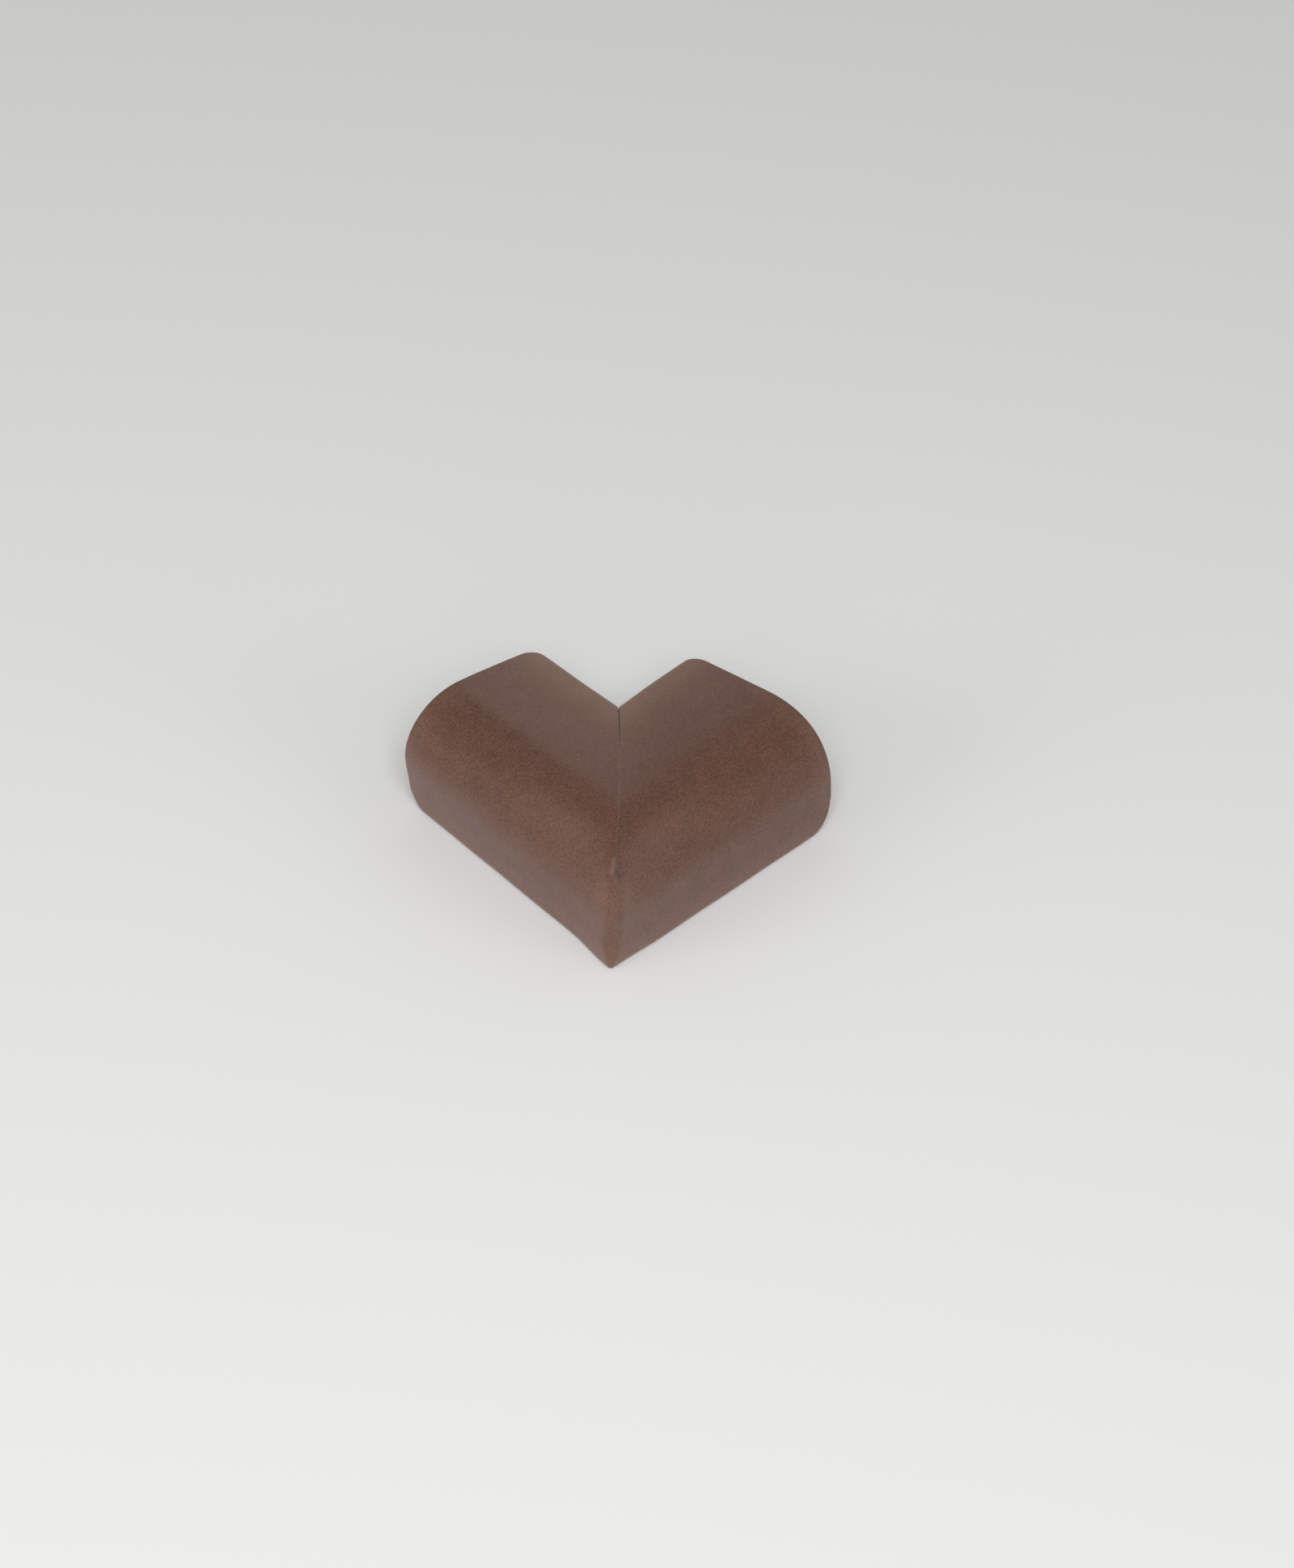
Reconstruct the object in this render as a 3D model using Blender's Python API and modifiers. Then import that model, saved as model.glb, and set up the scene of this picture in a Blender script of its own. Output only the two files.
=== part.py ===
"""Foam corner protector for a table: a moulded L-section strip, V-cut and folded round the corner.

Metres, +Z up. The wings run along +X and +Y from the outer corner, and the part stands on its feet at z = 0, with
the origin under the middle of the square that the wings span. The section is drawn as (inwards from the outer face,
up from the floor).
"""

from math import acos, atan2, ceil, cos, hypot, pi, radians, sin, sqrt

import bmesh
import bpy
from mathutils import Vector

# The folded strip in plan
wing_length = 0.055
flap_width = 0.0345
side_thickness = 0.012

# Heights: the whole section, the foam over the table's edge, and the flap's thin edge
height = 0.024
crown_thickness = 0.008
flap_edge = 0.0035

# Roundings of the section; the foot tucks in under the bumper's nose
nose_radius = 0.012
foot_tuck = 0.0005
foot_round = 0.001
flap_edge_round = 0.0012

# Roundings where the strip was cut off: the flap's corner in plan, and the foot's corner seen from the side
flap_corner_radius = 0.004
foot_corner_radius = 0.0052

# The V cut leaves a skin of this thickness. It folds with this rounding, and tighter at its toe
fold_web = 0.004
fold_roundness = 0.0028
toe_radius = 0.0006
toe_rise = 0.006

# The glued seam between the two cut faces: a groove on the skin that deepens from the tip of the V cut
seam_half_width = 0.0003
seam_depth = 0.0006
seam_run = 0.006

# Fineness of the mesh
nose_step = radians(5)
edge_steps = 6
side_steps = 3
flap_steps = 3
fold_columns = 12
wing_columns = 3

foam_colour = (0.150, 0.085, 0.062, 1.0)
foam_roughness = 0.85

ledge = height - crown_thickness
flap_edge_top = ledge + flap_edge
nose_centre = (nose_radius, height - nose_radius)
mesh_run = (wing_length - flap_width - flap_corner_radius) / wing_columns


def set_back(distance, radius):
    """How far a quarter-round edge stands back from its face, at a distance from the face beside it."""
    missing = radius - min(distance, radius)
    return radius - sqrt(radius**2 - missing**2)


def edge_marks(radius):
    """Distances that show a quarter-round edge well, from the edge to where it has died out."""
    return [radius * (1 - cos(pi / 2 * step / edge_steps)) for step in range(edge_steps + 1)]


def between(first, last, steps):
    """Values after the first one, evenly spaced up to the last."""
    return [first + (last - first) * step / steps for step in range(1, steps + 1)]


def nose_touch(point, turn):
    """The angle at which a straight stretch from a point outside the nose's circle runs into it."""
    across, up = point[0] - nose_centre[0], point[1] - nose_centre[1]
    return atan2(up, across) + turn * acos(nose_radius / hypot(across, up))


def on_nose(angle):
    return (nose_centre[0] + nose_radius * cos(angle), nose_centre[1] + nose_radius * sin(angle))


def skin_line():
    """The outer skin of the section, from the foot up round the nose and down to the flap's edge."""
    side_angle = nose_touch((foot_tuck, 0), -1) + 2 * pi
    flap_angle = nose_touch((flap_width, flap_edge_top), 1)
    side_end, side_top = on_nose(side_angle)
    flap_start, flap_top = on_nose(flap_angle)

    levels = edge_marks(foot_corner_radius)
    levels += between(levels[-1], side_top, side_steps)[:-1]
    lean = (side_end - foot_tuck) / side_top
    line = [(foot_tuck + lean * level + set_back(level, foot_round), level) for level in levels]

    line.append(on_nose(side_angle))
    for start, end in ((side_angle, pi), (pi, pi / 2), (pi / 2, flap_angle)):
        line += [on_nose(angle) for angle in between(start, end, ceil((start - end) / nose_step))]

    fall = (flap_edge_top - flap_top) / (flap_width - flap_start)
    corner_marks = [flap_width - mark for mark in reversed(edge_marks(flap_corner_radius))]
    for inwards in between(flap_start, corner_marks[0], flap_steps) + corner_marks[1:]:
        slope_height = flap_top + fall * (inwards - flap_start)
        line.append((inwards, slope_height - set_back(flap_width - inwards, flap_edge_round)))
    return line


def inner_partner(inwards, up):
    """The point across the foam: on the inner face, on the ledge under the flap, or in the corner between them."""
    return (max(inwards, side_thickness), min(up, ledge))


def inward_normals(line):
    """For each point of the skin, the direction in the section that points into the foam."""
    normals = []
    for place in range(len(line)):
        before, after = line[max(place - 1, 0)], line[min(place + 1, len(line) - 1)]
        normals.append(Vector((after[1] - before[1], before[0] - after[0])).normalized())
    return normals


def fold_radius(inwards, up):
    """Rounding of the folded skin in plan: none beyond the tip of the V cut, and tighter towards the toe."""
    full = min(max(fold_web - inwards, 0), fold_roundness)
    share = min(up / toe_rise, 1)
    share = share * share * (3 - 2 * share)
    return min(full, toe_radius + (full - toe_radius) * share)


def plan_place(inwards, up, column):
    """Where a line of the strip crosses one of the mesh's columns, in plan on the +X wing."""
    rounding = fold_radius(inwards, up)
    arc = rounding * pi / 4
    run_start = max(inwards, fold_web) + mesh_run
    if column > fold_columns:
        wing_end = wing_length - set_back(up, foot_corner_radius)
        wing_end -= set_back(flap_width - inwards, flap_corner_radius)
        share = (column - fold_columns) / wing_columns
        return (run_start + (wing_end - run_start) * share, inwards)
    seam_lip = seam_half_width * sqrt(2)
    fold_length = arc + run_start - inwards - rounding
    distances = [0, seam_lip] + between(seam_lip, fold_length, fold_columns - 1)
    distance = distances[column]
    if distance < arc:
        angle = distance / rounding - 3 * pi / 4
        return (inwards + rounding * (1 + cos(angle)), inwards + rounding * (1 + sin(angle)))
    return (inwards + rounding + distance - arc, inwards)


def column_points(skin, normals, column):
    """The whole outline at one column: along the skin from the foot to the flap's edge, then back inside."""
    points = []
    for (inwards, up), normal in zip(skin, normals):
        across, along = plan_place(inwards, up, column)
        if column == 0 and inwards > fold_web:
            depth = seam_depth * min((inwards - fold_web) / seam_run, 1)
            across += depth * normal.x
            along += depth * normal.x
            up += depth * normal.y
        points.append((across, along, up))
    for inwards, up in reversed([inner_partner(*point) for point in skin]):
        points.append((*plan_place(inwards, up, column), up))
    return points


def half_wing():
    """The +X wing from the mitre plane to its cut end, drawn out from its outline column by column."""
    skin = skin_line()
    normals = inward_normals(skin)
    mesh = bmesh.new()
    place = mesh.verts.layers.int.new("place")
    verts = [mesh.verts.new(point) for point in column_points(skin, normals, 0)]
    for number, vert in enumerate(verts):
        vert[place] = number
    edges = [mesh.edges.new((vert, verts[number - 1])) for number, vert in enumerate(verts)]
    for column in range(1, fold_columns + wing_columns + 1):
        points = column_points(skin, normals, column)
        made = bmesh.ops.extrude_edge_only(mesh, edges=edges)["geom"]
        edges = [part for part in made if isinstance(part, bmesh.types.BMEdge)]
        for vert in (part for part in made if isinstance(part, bmesh.types.BMVert)):
            vert.co = points[vert[place]]

    # The cut end is closed by rungs from the skin to the inner faces
    skin_side = [edge for edge in edges if all(vert[place] < len(skin) for vert in edge.verts)]
    inner_side = [edge for edge in edges if all(vert[place] >= len(skin) for vert in edge.verts)]
    bmesh.ops.bridge_loops(mesh, edges=skin_side + inner_side)
    bmesh.ops.remove_doubles(mesh, verts=mesh.verts, dist=1e-6)
    bmesh.ops.recalc_face_normals(mesh, faces=mesh.faces)
    data = bpy.data.meshes.new("foam_corner")
    mesh.to_mesh(data)
    mesh.free()
    data.shade_smooth()
    data.set_sharp_from_angle(angle=radians(40))
    return data


def foam_material():
    material = bpy.data.materials.new("brown_foam")
    material.use_nodes = True
    shader = material.node_tree.nodes["Principled BSDF"]
    shader.inputs["Base Color"].default_value = foam_colour
    shader.inputs["Roughness"].default_value = foam_roughness
    shader.inputs["Metallic"].default_value = 0.0
    return material


for old in list(bpy.data.objects):
    bpy.data.objects.remove(old)
collection = bpy.data.collections.new("corner_protector")
bpy.context.scene.collection.children.link(collection)

# The mitre plane passes through the outer corner, halfway between the wings
outer_corner = (-wing_length / 2, -wing_length / 2, 0)
mitre_plane = bpy.data.objects.new("mitre_plane", None)
mitre_plane.location = outer_corner
mitre_plane.rotation_euler = (0, 0, -pi / 4)
collection.objects.link(mitre_plane)

foam_corner = bpy.data.objects.new("foam_corner", half_wing())
foam_corner.location = outer_corner
foam_corner.data.materials.append(foam_material())
collection.objects.link(foam_corner)
other_wing = foam_corner.modifiers.new("other_wing", "MIRROR")
other_wing.use_axis = (True, False, False)
other_wing.mirror_object = mitre_plane
other_wing.merge_threshold = 0.00001
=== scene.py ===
"""The looks of a foam corner protector for a table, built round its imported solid.

Metres, +Z up. The wings run along +X and +Y from the outer corner, and the part stands on its feet.
"""

from math import acos, atan2, ceil, copysign, cos, exp, hypot, pi, radians, sin, sqrt

import bmesh
import bpy
from mathutils import Matrix, Vector, noise


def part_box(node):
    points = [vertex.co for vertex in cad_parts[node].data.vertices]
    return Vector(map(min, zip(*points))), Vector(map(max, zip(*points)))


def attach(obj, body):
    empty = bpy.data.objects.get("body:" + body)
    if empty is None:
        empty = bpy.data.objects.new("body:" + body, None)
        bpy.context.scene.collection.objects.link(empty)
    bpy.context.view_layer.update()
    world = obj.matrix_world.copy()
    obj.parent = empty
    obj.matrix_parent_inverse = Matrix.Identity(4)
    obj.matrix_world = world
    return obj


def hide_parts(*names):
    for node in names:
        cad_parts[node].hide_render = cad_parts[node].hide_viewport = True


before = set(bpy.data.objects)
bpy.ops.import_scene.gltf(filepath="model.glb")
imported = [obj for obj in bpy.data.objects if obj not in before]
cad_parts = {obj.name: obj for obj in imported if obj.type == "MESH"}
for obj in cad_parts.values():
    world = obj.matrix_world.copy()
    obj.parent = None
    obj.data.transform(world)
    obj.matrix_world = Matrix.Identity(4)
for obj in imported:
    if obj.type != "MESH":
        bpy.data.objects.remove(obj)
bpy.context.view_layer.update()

# Foam corner: a length of moulded L-section strip in closed-cell foam, a round-nosed bumper with a thin
# flap over the table top. A right-angled V is cut through the flap and most of the bumper, the strip is
# folded on the skin that is left, and the two cut faces are glued.
mm = 0.001
solid_low, solid_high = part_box("foam_corner")
wing_length = solid_high.x - solid_low.x
height = solid_high.z
flap_width = 34.5 * mm
side_thickness = 12 * mm
crown_thickness = 8 * mm
ledge = height - crown_thickness
flap_edge = 3.5 * mm
nose_radius = 12 * mm
foot_tuck = 0.5 * mm
foot_round = 1.0 * mm
flap_edge_round = 1.2 * mm
flap_corner_radius = 4.0 * mm
foot_corner_radius = 5.2 * mm
fold_web = 4 * mm
fold_roundness = 2.8 * mm
toe_radius = 0.6 * mm
toe_rise = 6 * mm
nose_centre = (nose_radius, height - nose_radius)
nose_fullness = 2.1
nose_step = radians(1.6)
flat_step = 0.5 * mm
easing_passes = 25


def between(first, last, spacing):
    """Values after the first one, about a spacing apart, up to the last."""
    steps = ceil(abs(last - first) / spacing)
    return [first + (last - first) * step / steps for step in range(1, steps + 1)]


def set_back(distance, radius):
    """How far a quarter-round edge stands back from its face, at a distance from the face beside it."""
    missing = radius - min(distance, radius)
    return radius - sqrt(radius**2 - missing**2)


def edge_marks(radius, steps=10):
    """Distances that show a quarter-round edge well, from the edge to where it has died out."""
    return [radius * (1 - cos(pi / 2 * step / steps)) for step in range(steps + 1)]


def nose_touch(point, turn):
    """The angle at which a straight stretch from a point outside the nose's circle runs into it."""
    across, up = point[0] - nose_centre[0], point[1] - nose_centre[1]
    return atan2(up, across) + turn * acos(nose_radius / hypot(across, up))


def on_nose(angle):
    """A point of the nose, which is a little fuller than a circle."""
    across = copysign(abs(cos(angle)) ** (2 / nose_fullness), cos(angle))
    up = copysign(abs(sin(angle)) ** (2 / nose_fullness), sin(angle))
    return (nose_centre[0] + nose_radius * across, nose_centre[1] + nose_radius * up)


def skin_line():
    """The section's outer skin as (inwards, up), from the foot up round the nose to the flap's edge."""
    flap_edge_top = ledge + flap_edge
    side_angle = nose_touch((foot_tuck, 0), -1) + 2 * pi
    flap_angle = nose_touch((flap_width, flap_edge_top), 1)
    side_end, side_top = on_nose(side_angle)
    flap_start, flap_top = on_nose(flap_angle)
    levels = edge_marks(foot_corner_radius)
    foot_points = len(levels)
    levels += between(levels[-1], side_top, flat_step)[:-1]
    lean = (side_end - foot_tuck) / side_top
    line = [(foot_tuck + lean * level + set_back(level, foot_round), level) for level in levels]
    line.append(on_nose(side_angle))
    line += [on_nose(angle) for angle in between(side_angle, flap_angle, nose_step)]
    fall = (flap_edge_top - flap_top) / (flap_width - flap_start)
    corner_marks = [flap_width - mark for mark in reversed(edge_marks(flap_corner_radius))]
    marks = between(flap_start, corner_marks[0], flat_step)
    line += [(inwards, flap_top + fall * (inwards - flap_start)) for inwards in marks]
    # The mould's flat stretches run softly into the nose
    for _ in range(easing_passes):
        middle = zip(line[foot_points:], line[foot_points + 1 :], line[foot_points + 2 :])
        eased = [((a[0] + 2 * b[0] + c[0]) / 4, (a[1] + 2 * b[1] + c[1]) / 4) for a, b, c in middle]
        line[foot_points + 1 : -1] = eased
    for inwards in corner_marks[1:]:
        slope_height = flap_top + fall * (inwards - flap_start)
        line.append((inwards, slope_height - set_back(flap_width - inwards, flap_edge_round)))
    return line


def smooth_step(value, start, end):
    """Rises smoothly from 0 to 1 while a value goes from a start to an end."""
    share = min(max((value - start) / (end - start), 0), 1)
    return share * share * (3 - 2 * share)


def bell(distance, width):
    """1 at no distance, and fading to nothing at about two widths."""
    return exp(-((distance / width) ** 2))


def blend(first, last, share):
    """A value between two others, by a share."""
    return first + (last - first) * share


def fold_radius(inwards, up):
    """Rounding of the folded skin in plan: none over the V cut, and tight at the toe."""
    full = min(max(fold_web - inwards, 0), fold_roundness)
    return min(full, blend(toe_radius, full, smooth_step(up, 0, toe_rise)))


# The mesh's columns: very close together at the seam, at these distances in mm, then wider, then even along
# the wing
seam_marks = (0, 0.06, 0.12, 0.19, 0.27, 0.37, 0.5, 0.68, 0.9, 1.15, 1.4, 1.7, 2.0, 2.3, 2.6)
seam_columns = [mark * mm for mark in seam_marks]
fold_columns = 12
wing_columns = 40
fold_run = 10 * mm


def plan_place(inwards, up, column):
    """Where a line along the strip crosses one of the mesh's columns, in plan on the +X wing."""
    rounding = fold_radius(inwards, up)
    arc = rounding * pi / 4
    fold_end = len(seam_columns) - 1 + fold_columns
    if column > fold_end:
        wing_end = wing_length - set_back(up, foot_corner_radius)
        wing_end -= set_back(flap_width - inwards, flap_corner_radius)
        share = (column - fold_end) / wing_columns
        return (inwards + fold_run + (wing_end - inwards - fold_run) * share, inwards)
    if column < len(seam_columns):
        distance = seam_columns[column]
    else:
        share = (column - len(seam_columns) + 1) / fold_columns
        distance = seam_columns[-1] + (arc + fold_run - rounding - seam_columns[-1]) * share
    if distance < arc:
        angle = distance / rounding - 3 * pi / 4
        return (inwards + rounding * (1 + cos(angle)), inwards + rounding * (1 + sin(angle)))
    return (inwards + rounding + distance - arc, inwards)


# The glued seam: a thin gap near the V notch, darkened with painted shade, then pressed shut with a thin
# pale line of glue in it
seam_depth = 0.2 * mm
seam_width = 0.12 * mm
glue_height = 0.06 * mm
glue_paleness = 0.65
seam_opens = (21 * mm, 31 * mm)
seam_starts = (fold_web, 9 * mm)


def seam_share(inwards, distance):
    """The shares of open gap and of glue line, at a distance along the wing from the mitre plane."""
    beside = bell(distance / sqrt(2), seam_width)
    opened = smooth_step(inwards, *seam_opens)
    return beside * opened, beside * (1 - opened) * smooth_step(inwards, *seam_starts)


def column_points(skin, normals, column):
    """The outline at one column: along the skin from the foot to the flap's edge, then back inside."""
    points = []
    for (inwards, up), normal in zip(skin, normals):
        across, along = plan_place(inwards, up, column)
        if column < len(seam_columns):
            gap, glue = seam_share(inwards, seam_columns[column])
            sink = seam_depth * gap - glue_height * glue
            across, along, up = across + sink * normal.x, along + sink * normal.x, up + sink * normal.y
        points.append((across, along, up))
    for inwards, up in reversed(skin):
        inner = (max(inwards, side_thickness), min(up, ledge))
        points.append((*plan_place(*inner, column), inner[1]))
    return points


skin = skin_line()
normals = []
for number in range(len(skin)):
    before, after = skin[max(number - 1, 0)], skin[min(number + 1, len(skin) - 1)]
    normals.append(Vector((after[1] - before[1], before[0] - after[0])).normalized())

bm = bmesh.new()
place = bm.verts.layers.int.new("place")
# Shares noted on the mesh: painted shade in the seam's gap and the dimples with the glued joint, the glue
# line with a painted highlight on the pucker's crest, painted sheen and highlights, and a greyer patch
gap_shade_and_joint_share = bm.verts.layers.float.new("gap")
glue_and_crest_highlight_share = bm.verts.layers.float.new("glue")
painted_sheen_share = bm.verts.layers.float.new("painted_sheen")
grey_patch_share = bm.verts.layers.float.new("grey_patch")


def mark_seam(vert, column):
    """Notes the open gap's painted shade and the glue line on the skin, and the glued joint on the hidden
    faces.
    """
    if column < len(seam_columns):
        if vert[place] < len(skin):
            gap, glue = seam_share(skin[vert[place]][0], seam_columns[column])
            vert[gap_shade_and_joint_share], vert[glue_and_crest_highlight_share] = gap, glue_paleness * glue
        else:
            vert[gap_shade_and_joint_share] = bell(seam_columns[column] / sqrt(2), seam_width)


verts = [bm.verts.new(point) for point in column_points(skin, normals, 0)]
for number, vert in enumerate(verts):
    vert[place] = number
    mark_seam(vert, 0)
edges = [bm.edges.new((vert, verts[number - 1])) for number, vert in enumerate(verts)]
for column in range(1, len(seam_columns) + fold_columns + wing_columns):
    points = column_points(skin, normals, column)
    made = bmesh.ops.extrude_edge_only(bm, edges=edges)["geom"]
    edges = [part for part in made if isinstance(part, bmesh.types.BMEdge)]
    for vert in (part for part in made if isinstance(part, bmesh.types.BMVert)):
        vert.co = points[vert[place]]
        vert[gap_shade_and_joint_share] = vert[glue_and_crest_highlight_share] = 0
        mark_seam(vert, column)

# The strip was cut off here, with an edge that is a little soft
cut_edge_round = 0.25 * mm
merge_distance = 0.001 * mm
skin_side = [edge for edge in edges if all(vert[place] < len(skin) for vert in edge.verts)]
inner_side = [edge for edge in edges if all(vert[place] >= len(skin) for vert in edge.verts)]
for face in bmesh.ops.bridge_loops(bm, edges=skin_side + inner_side)["faces"]:
    face.material_index = 1
bmesh.ops.remove_doubles(bm, verts=bm.verts, dist=merge_distance)
bmesh.ops.recalc_face_normals(bm, faces=bm.faces)
cut_edges = [edge for edge in bm.edges if len({face.material_index for face in edge.link_faces}) == 2]
bmesh.ops.bevel(
    bm,
    geom=cut_edges,
    offset=cut_edge_round,
    segments=3,
    profile=0.5,
    affect="EDGES",
    material=-1,
    clamp_overlap=True,
)

# The other wing mirrors this one across the mitre plane
mirrored = bmesh.ops.duplicate(bm, geom=bm.verts[:] + bm.edges[:] + bm.faces[:])["geom"]
for vert in (part for part in mirrored if isinstance(part, bmesh.types.BMVert)):
    vert.co.xy = vert.co.yx
bmesh.ops.reverse_faces(bm, faces=[part for part in mirrored if isinstance(part, bmesh.types.BMFace)])
bmesh.ops.remove_doubles(bm, verts=bm.verts, dist=merge_distance)
bm.normal_update()

# Folding and gluing by hand turns the feet a little against the flap, round a level that is a share of the
# height. It also lifts one end and shifts the feet to one side
twist = radians(2.6)
still_level = 0.42
end_lift, lift_height = 0.45 * mm, 3 * mm
foot_shift, foot_shift_height = 0.45 * mm, 17 * mm

# It bows the seam too: (distance inwards, sideways shift) along the mitre line, in mm
seam_bow = ((0, -0.4), (4, -0.6), (7, -0.3), (12, 0.2), (20, 0.6), (30, 0.7), (36, 0.5))
bow_width = 5 * mm
sideways = Vector((1, -1, 0)).normalized()
outwards = Vector((-1, -1, 0)).normalized()

# Each end's cut runs a little out of square: shifts along the wing at the nose, the flap and the foot
right_cut = (0.35 * mm, -0.4 * mm, -1.1 * mm)
left_cut = (-0.35 * mm, -0.25 * mm, -0.1 * mm)
cut_nose_run, cut_foot_height = 15 * mm, 9 * mm
cut_starts = 0.5 * wing_length

# Where the seam ends and the fold begins, the skin puckers: one slanting ridge, with two small dimples
# beside it at (sideways, inwards). Under it the toe pokes out a little
pucker_start, pucker_end = 3.4 * mm, 6.0 * mm
pucker_height, pucker_width, pucker_slant = 0.38 * mm, 0.42 * mm, 0.35 * mm
pucker_lip, pucker_fade = 0.2 * mm, 1.2 * mm
# A painted highlight on the ridge's crest, in the glue line's colour
pucker_crest_highlight = 0.9
dimples = ((0.35 * mm, 3.8 * mm), (0.8 * mm, 3.5 * mm))
dimple_depth, dimple_width, dimple_shade = 0.22 * mm, 0.26 * mm, 0.6
toe_poke, toe_poke_width, toe_poke_height = 0.35 * mm, 5 * mm, 8 * mm
toe_reach = 6 * mm

# The skin swells in soft humps of two sizes, each with its height, and the soles stay flat
swells = ((14 * mm, 0.10 * mm), (5 * mm, 0.03 * mm))
sole_height = 0.05 * mm


def bowed(inwards):
    """Sideways shift of the mitre line at a distance inwards from the outer corner."""
    for (start, first), (end, last) in zip(seam_bow, seam_bow[1:]):
        if inwards <= end * mm:
            return blend(first, last, smooth_step(inwards, start * mm, end * mm)) * mm
    return seam_bow[-1][1] * mm


def cut_shift(point, inwards):
    """How far a point near a wing's end moves along the wing."""
    at_nose, at_flap, at_foot = right_cut if point.x > point.y else left_cut
    shift = blend(at_nose, at_flap, smooth_step(inwards, 0, cut_nose_run))
    shift += (at_foot - at_nose) * (1 - smooth_step(point.z, 0, cut_foot_height))
    return shift * smooth_step(max(point.x, point.y), cut_starts, wing_length)


def ridge(inwards, from_plane):
    """How much of the pucker's ridge there is, over the tip of the V cut."""
    place_along = (pucker_end - inwards) / (pucker_end - pucker_start)
    ends = smooth_step(inwards, pucker_start - pucker_lip, pucker_start + pucker_lip)
    ends *= 1 - smooth_step(inwards, pucker_end - pucker_fade, pucker_end)
    return ends * bell(from_plane + pucker_slant * place_along, pucker_width)


def dimple(inwards, from_plane):
    """How much of the two dimples there is."""
    return sum(bell(from_plane - x, dimple_width) * bell(inwards - y, dimple_width) for x, y in dimples)


# Painted sheen and highlights: the skin is painted paler at the feet, the flap, the ends, the fold, the
# flanks and in a streak along the nose, where sheen and reflected light fall: how much, and where that
# comes or goes
left_foot_sheen, right_foot_sheen, foot_sheen_height = 0.07, 0.09, 8 * mm
left_flap_sheen, right_flap_sheen, flap_sheen_starts = 0.06, 0.01, (11.5 * mm, 15 * mm)
inner_flap_sheen, inner_flap_run = 0.04, (15 * mm, 28 * mm)
flap_edge_sheen, flap_edge_run = 0.15, (25 * mm, 36 * mm)
end_sheen, end_sheen_length = 0.045, 6 * mm
fold_sheen, fold_sheen_width, fold_sheen_fades = 0.04, 7 * mm, (15 * mm, 21 * mm)
under_nose_sheen, under_nose_level, under_nose_width = 0.026, 15 * mm, 2.2 * mm
flank_highlight, flank_place, flank_width = 0.048, 2.3 * mm, 1.4 * mm
flank_level, flank_height = 17 * mm, 3 * mm
streak_highlight, streak_place, streak_width = 0.055, 5 * mm, 2.4 * mm
streak_starts, streak_fades = (4 * mm, 14 * mm), (15 * mm, 38 * mm)
left_side_run = (-12 * mm, 12 * mm)

# The greyer skin beside the pucker, on the right wing only
grey_patch_starts, grey_patch_fades = (-0.3 * mm, 1.0 * mm), (4 * mm, 12 * mm)
grey_patch_place, grey_patch_width = 3.6 * mm, 2.3 * mm


def painted_sheen_at(point, inwards, along, from_plane):
    """Share of the painted sheen and highlights on the skin."""
    left_side = smooth_step(-from_plane, *left_side_run)
    foot = blend(right_foot_sheen, left_foot_sheen, left_side)
    foot *= 1 - smooth_step(point.z, 0, foot_sheen_height)
    fold = fold_sheen * bell(from_plane, fold_sheen_width)
    fold *= 1 - smooth_step(point.z, *fold_sheen_fades)
    under_nose = under_nose_sheen * left_side * bell(point.z - under_nose_level, under_nose_width)
    flap = blend(right_flap_sheen, left_flap_sheen, left_side) * smooth_step(inwards, *flap_sheen_starts)
    flap += inner_flap_sheen * smooth_step(inwards, *inner_flap_run)
    flap += flap_edge_sheen * smooth_step(inwards, *flap_edge_run)
    end = end_sheen * smooth_step(along, wing_length - end_sheen_length, wing_length)
    # A painted highlight streak along the nose near the fold
    streak = streak_highlight * bell(inwards - streak_place, streak_width)
    streak *= smooth_step(along, *streak_starts) * (1 - smooth_step(along, *streak_fades))
    flanks = flank_highlight * bell(abs(from_plane) - flank_place, flank_width)
    flanks *= bell(point.z - flank_level, flank_height)
    return max(foot, flap, end) + fold + under_nose + flanks + streak


def grey_patch_at(inwards, from_plane):
    """Share of the greyer patch beside the pucker."""
    beside = smooth_step(from_plane, *grey_patch_starts) * (1 - smooth_step(from_plane, *grey_patch_fades))
    return beside * bell(inwards - grey_patch_place, grey_patch_width)


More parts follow.
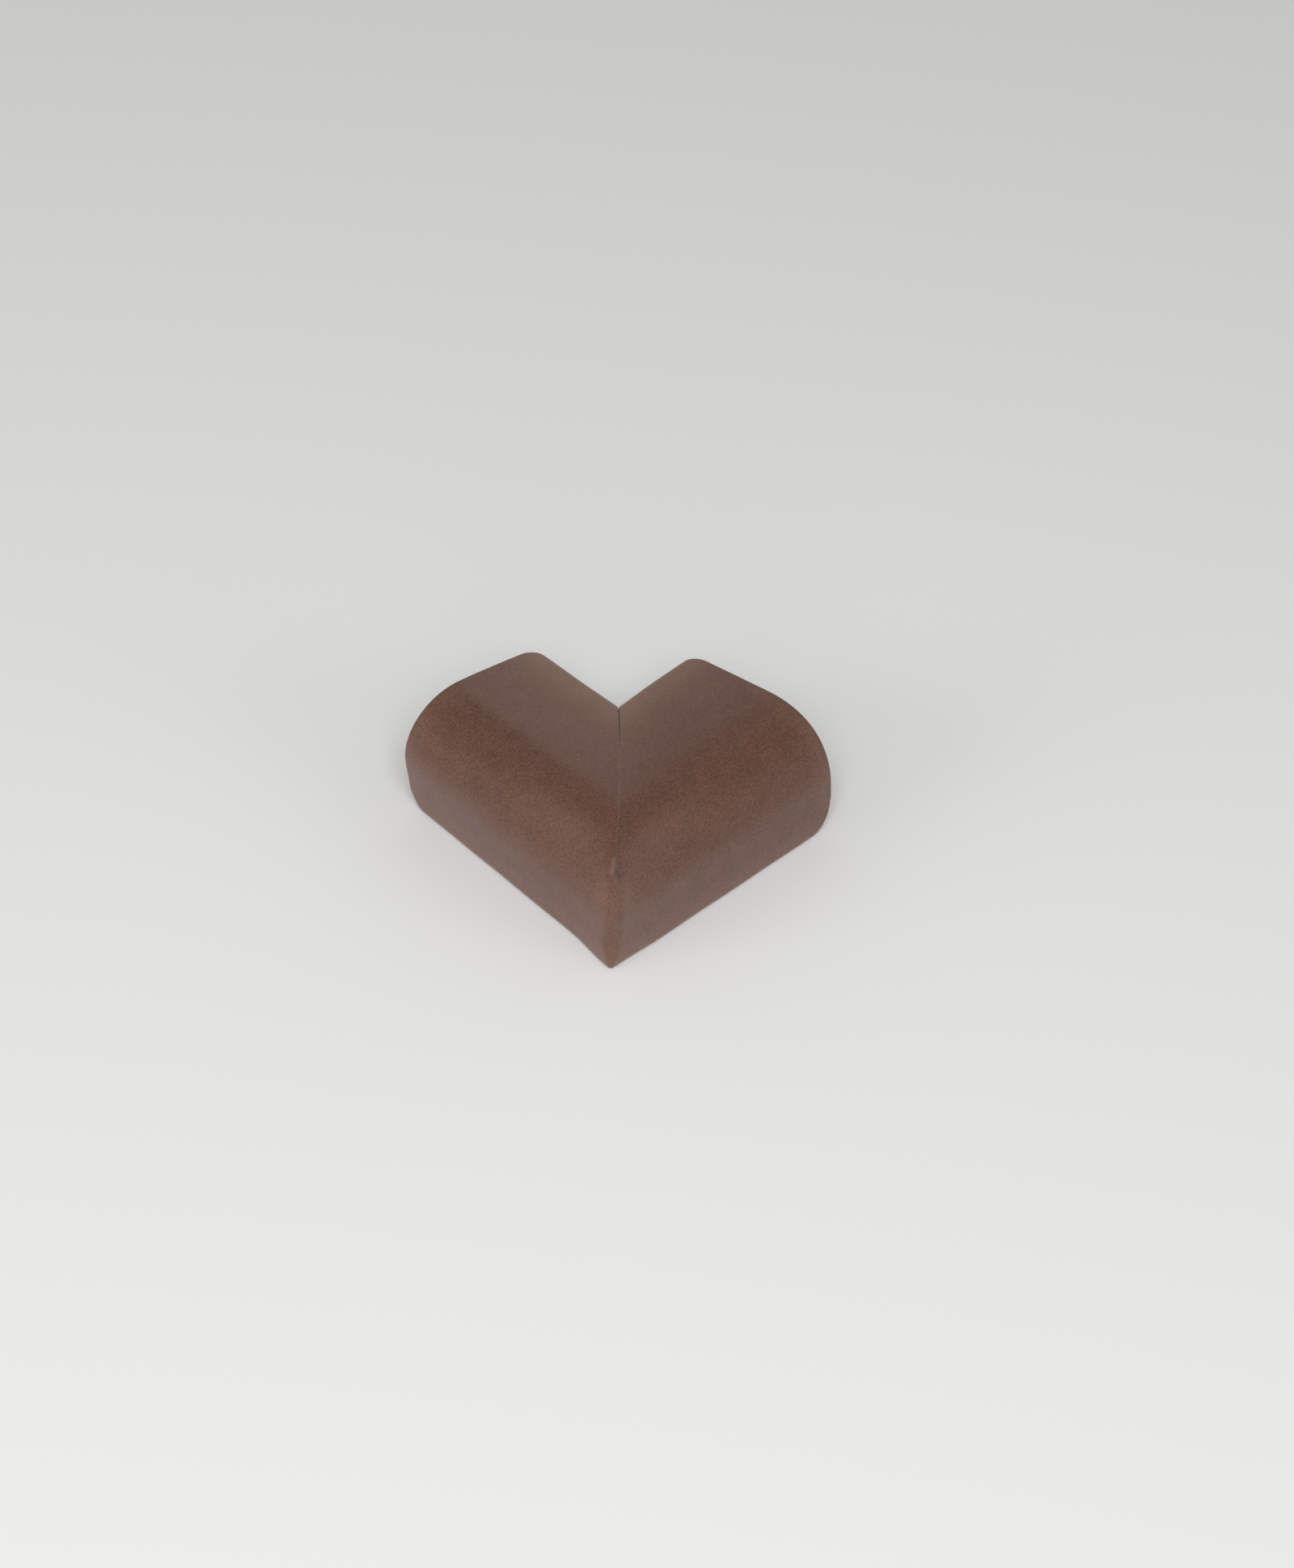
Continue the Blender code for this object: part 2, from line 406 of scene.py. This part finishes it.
for vert in bm.verts:
    point = vert.co.copy()
    inwards = min(point.x, point.y)
    along = max(point.x, point.y)
    from_plane = (point.x - point.y) / sqrt(2)
    vert[painted_sheen_share] = painted_sheen_at(point, inwards, along, from_plane)
    vert[grey_patch_share] = grey_patch_at(inwards, from_plane)
    swell = sum(noise.noise(point / size) * depth for size, depth in swells)
    on_mitre = (point.x + point.y) / 2
    if vert[place] < len(skin):
        raised = ridge(on_mitre, from_plane)
        sunk = dimple(on_mitre, from_plane)
        swell += pucker_height * raised - dimple_depth * sunk
        # The ridge's crest gets a painted highlight, and the dimples painted shade
        vert[glue_and_crest_highlight_share] = max(vert[glue_and_crest_highlight_share], pucker_crest_highlight * raised**2)
        vert[gap_shade_and_joint_share] = max(vert[gap_shade_and_joint_share], dimple_shade * sunk)
    near_seam = bell(from_plane, bow_width)
    shifted = foot_shift * (1 - near_seam) * (1 - smooth_step(point.z, 0, foot_shift_height))
    moved = point + sideways * (bowed(on_mitre) * near_seam + shifted)
    if inwards < toe_reach:
        poked = toe_poke * bell(from_plane, toe_poke_width)
        moved += outwards * poked * (1 - smooth_step(point.z, 0, toe_poke_height))
    wing_way = Vector((1, 0, 0)) if point.x > point.y else Vector((0, 1, 0))
    moved += wing_way * cut_shift(point, inwards)
    if point.z > sole_height:
        moved += vert.normal * swell
        moved.z += end_lift * (point.y - point.x) / wing_length * smooth_step(point.z, 0, lift_height)
    turn = Matrix.Rotation(twist * (point.z / height - still_level), 3, "Z")
    vert.co = turn @ moved + Vector((solid_low.x, solid_low.y, 0))

sharp_angle = radians(35)
foam_mesh = bpy.data.meshes.new("foam_corner_skin")
bm.to_mesh(foam_mesh)
bm.free()
foam_mesh.shade_smooth()
foam_mesh.set_sharp_from_angle(angle=sharp_angle)
foam_corner = bpy.data.objects.new("foam_corner_skin", foam_mesh)
bpy.context.scene.collection.objects.link(foam_corner)


def add(tree, kind, **settings):
    """A new node with its settings and the values of its inputs."""
    node = tree.nodes.new(kind)
    for name, value in settings.items():
        if hasattr(node, name):
            setattr(node, name, value)
        else:
            node.inputs[name.replace("_", " ")].default_value = value
    return node


def textured(tree, kind, **settings):
    """A texture in the object's own coordinates."""
    texture = add(tree, kind, **settings)
    tree.links.new(tree.nodes.new("ShaderNodeTexCoord").outputs["Object"], texture.inputs["Vector"])
    return texture


def spread(tree, value, low, high, to_low, to_high):
    """A value that goes from low to high, spread over another range."""
    node = add(tree, "ShaderNodeMapRange", From_Min=low, From_Max=high, To_Min=to_low, To_Max=to_high)
    tree.links.new(value, node.inputs["Value"])
    return node.outputs["Result"]


def multiplied(tree, first, second):
    """One value times another."""
    node = add(tree, "ShaderNodeMath", operation="MULTIPLY")
    tree.links.new(first, node.inputs[0])
    tree.links.new(second, node.inputs[1])
    return node.outputs["Value"]


def share_of(tree, name, strength):
    """One of the shares noted on the mesh, times a strength."""
    noted = add(tree, "ShaderNodeAttribute", attribute_name=name)
    return spread(tree, noted.outputs["Fac"], 0, 1, 0, strength)


def shaded(tree, colour, tone):
    """A flat colour, lighter and darker by a tone."""
    node = add(tree, "ShaderNodeVectorMath", operation="SCALE")
    node.inputs[0].default_value = colour
    tree.links.new(tone, node.inputs["Scale"])
    return node.outputs["Vector"]


def grained(tree, dark, light, grain, tone):
    """A colour that goes from dark to light with a grain, and is made lighter and darker by a tone."""
    mixed = add(tree, "ShaderNodeMix", data_type="RGBA")
    mixed.inputs["A"].default_value = (*dark, 1)
    mixed.inputs["B"].default_value = (*light, 1)
    tree.links.new(grain, mixed.inputs["Factor"])
    node = add(tree, "ShaderNodeVectorMath", operation="SCALE")
    tree.links.new(mixed.outputs["Result"], node.inputs[0])
    tree.links.new(tone, node.inputs["Scale"])
    return node.outputs["Vector"]


def layer(tree, under, colour, factor):
    """Lays a flat colour over another one by a factor."""
    mixed = add(tree, "ShaderNodeMix", data_type="RGBA")
    tree.links.new(under, mixed.inputs["A"])
    mixed.inputs["B"].default_value = (*colour, 1)
    tree.links.new(factor, mixed.inputs["Factor"])
    return mixed.outputs["Result"]


def foam_material(name, roughness):
    """A matt material with a little dusty sheen, and its node tree and shader."""
    material = bpy.data.materials.new(name)
    material.use_nodes = True
    shader = material.node_tree.nodes["Principled BSDF"]
    shader.inputs["Roughness"].default_value = roughness
    shader.inputs["Specular IOR Level"].default_value = 0.3
    shader.inputs["Sheen Weight"].default_value = 0.24
    shader.inputs["Sheen Tint"].default_value = (1.0, 0.88, 0.88, 1)
    shader.inputs["Sheen Roughness"].default_value = 0.5
    return material, material.node_tree, shader


def roughen(tree, shader, surface, strength, depth):
    """Makes a material look uneven, higher and lower by a texture."""
    bump = add(tree, "ShaderNodeBump", Strength=strength, Distance=depth)
    tree.links.new(surface, bump.inputs["Height"])
    tree.links.new(bump.outputs["Normal"], shader.inputs["Normal"])


dark_grain, light_grain = (0.070, 0.020, 0.006), (0.150, 0.073, 0.048)
# Colours of the painted sheen and the light specks, the greyer patch, the glue line with the painted crest
# highlight, and the painted gap shade
sheen_and_speck_colour = (0.58, 0.40, 0.305)
grey_patch_colour = (0.12, 0.105, 0.13)
glue_and_crest_highlight_colour = (0.42, 0.36, 0.28)
gap_shade_and_joint_colour = (0.030, 0.018, 0.012)

# The moulded skin: brown, with a fine grain, cloudy patches, painted sheen and highlights, small light
# specks, a greyer patch beside the pucker, and the seam's marks: the glue line, a painted highlight on the
# pucker's crest and painted shade in the gap
noise_middle = (0.3, 0.7)
cloud_tone = (0.92, 1.08)
speck_size, speck_share = (0.03, 0.06), (0.15, 0)
foam_skin, tree, shader = foam_material("foam_skin", roughness=0.50)
grain = textured(tree, "ShaderNodeTexNoise", Scale=2500, Detail=3, Roughness=0.7).outputs["Fac"]
clouds = textured(tree, "ShaderNodeTexNoise", Scale=260, Detail=3).outputs["Fac"]
grainy = spread(tree, grain, *noise_middle, 0, 1)
cloudy = spread(tree, clouds, *noise_middle, *cloud_tone)
colour = grained(tree, dark_grain, light_grain, grainy, cloudy)
# Painted sheen and highlights, laid on as a paler colour
colour = layer(tree, colour, sheen_and_speck_colour, share_of(tree, "painted_sheen", strength=1))
specks = textured(tree, "ShaderNodeTexVoronoi", Scale=400).outputs["Distance"]
colour = layer(tree, colour, sheen_and_speck_colour, spread(tree, specks, *speck_size, *speck_share))
colour = layer(tree, colour, grey_patch_colour, share_of(tree, "grey_patch", strength=0.12))
# The glue line, and a painted highlight on the pucker's crest
colour = layer(tree, colour, glue_and_crest_highlight_colour, share_of(tree, "glue", strength=0.15))
# Painted shade in the seam's open gap and in the dimples, and the dark glued joint on the hidden faces
colour = layer(tree, colour, gap_shade_and_joint_colour, share_of(tree, "gap", strength=0.60))
tree.links.new(colour, shader.inputs["Base Color"])
roughen(tree, shader, grain, strength=0.4, depth=0.03 * mm)

# The cut ends have no skin: they show the foam's fine cells, a little lighter, with open dark pores
cut_brown = (0.125, 0.056, 0.034)
cell_middle, cell_tone, pore_tone = (0.1, 0.6), (0.72, 1.12), (0.9, 1.1)
cut_foam, tree, shader = foam_material("cut_foam", roughness=0.75)
cells = textured(tree, "ShaderNodeTexVoronoi", Scale=2200).outputs["Distance"]
pores = textured(tree, "ShaderNodeTexNoise", Scale=900, Detail=3).outputs["Fac"]
celled = spread(tree, cells, *cell_middle, *cell_tone)
pored = spread(tree, pores, *noise_middle, *pore_tone)
tone = multiplied(tree, celled, pored)
colour = shaded(tree, cut_brown, tone)
# Painted sheen on the cut ends as well
colour = layer(tree, colour, sheen_and_speck_colour, share_of(tree, "painted_sheen", strength=0.7))
tree.links.new(colour, shader.inputs["Base Color"])
roughen(tree, shader, cells, strength=0.6, depth=0.08 * mm)

foam_mesh.materials.append(foam_skin)
foam_mesh.materials.append(cut_foam)
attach(foam_corner, "root")
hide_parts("foam_corner")

# Floor: a large sheet with a pale, plain, matt face. The part stands on it in the picture, and it doesn't
# belong to the object.
bm = bmesh.new()
bmesh.ops.create_grid(bm, x_segments=1, y_segments=1, size=4)
floor_mesh = bpy.data.meshes.new("floor")
bm.to_mesh(floor_mesh)
bm.free()
floor = bpy.data.objects.new("floor", floor_mesh)
bpy.context.scene.collection.objects.link(floor)
pale = bpy.data.materials.new("pale_floor")
pale.use_nodes = True
shader = pale.node_tree.nodes["Principled BSDF"]
shader.inputs["Base Color"].default_value = (0.82, 0.82, 0.81, 1)
shader.inputs["Roughness"].default_value = 0.9
floor_mesh.materials.append(pale)

# Light: a pale room, a soft lamp above, and three weaker ones on the left, on the right and low in front
world = bpy.data.worlds.new("studio")
bpy.context.scene.world = world
world.use_nodes = True
background = world.node_tree.nodes["Background"]
background.inputs["Color"].default_value = (1, 1, 1, 1)
background.inputs["Strength"].default_value = 0.38
lamp_size = 0.5


def soft_lamp(name, place, power):
    """A square lamp that shines at the part."""
    data = bpy.data.lights.new(name, "AREA")
    data.size, data.energy = lamp_size, power
    lamp = bpy.data.objects.new(name, data)
    lamp.location = place
    lamp.rotation_euler = (-place).to_track_quat("-Z", "Y").to_euler()
    bpy.context.scene.collection.objects.link(lamp)


soft_lamp("high_lamp", Vector((-0.45, -0.42, 0.80)), 5.2)
soft_lamp("left_lamp", Vector((-0.95, 0.30, 0.35)), 2.5)
soft_lamp("right_lamp", Vector((0.30, -0.95, 0.35)), 1.5)
soft_lamp("low_lamp", Vector((-0.70, -0.65, 0.25)), 0.7)

# Camera: looks down at the outer corner, rolled a little, as the photograph does
camera_azimuth, camera_elevation, camera_roll = radians(-47.29), radians(45.0), radians(3.95)
camera_distance = 0.7
aim = Vector((-6.22, -4.80, 12.8)) * mm
camera_data = bpy.data.cameras.new("camera")
camera_data.lens = 88.9
camera_data.shift_x, camera_data.shift_y = 0.0223, 0.0090
camera = bpy.data.objects.new("camera", camera_data)
level_away = Vector((sin(camera_azimuth), -cos(camera_azimuth), 0))
away = level_away * cos(camera_elevation) + Vector((0, 0, sin(camera_elevation)))
camera.location = aim + away * camera_distance
looking = (-away).to_track_quat("-Z", "Y").to_matrix() @ Matrix.Rotation(camera_roll, 3, "Z")
camera.rotation_euler = looking.to_euler()
bpy.context.scene.collection.objects.link(camera)
bpy.context.scene.camera = camera
bpy.context.scene.view_settings.view_transform = "Standard"
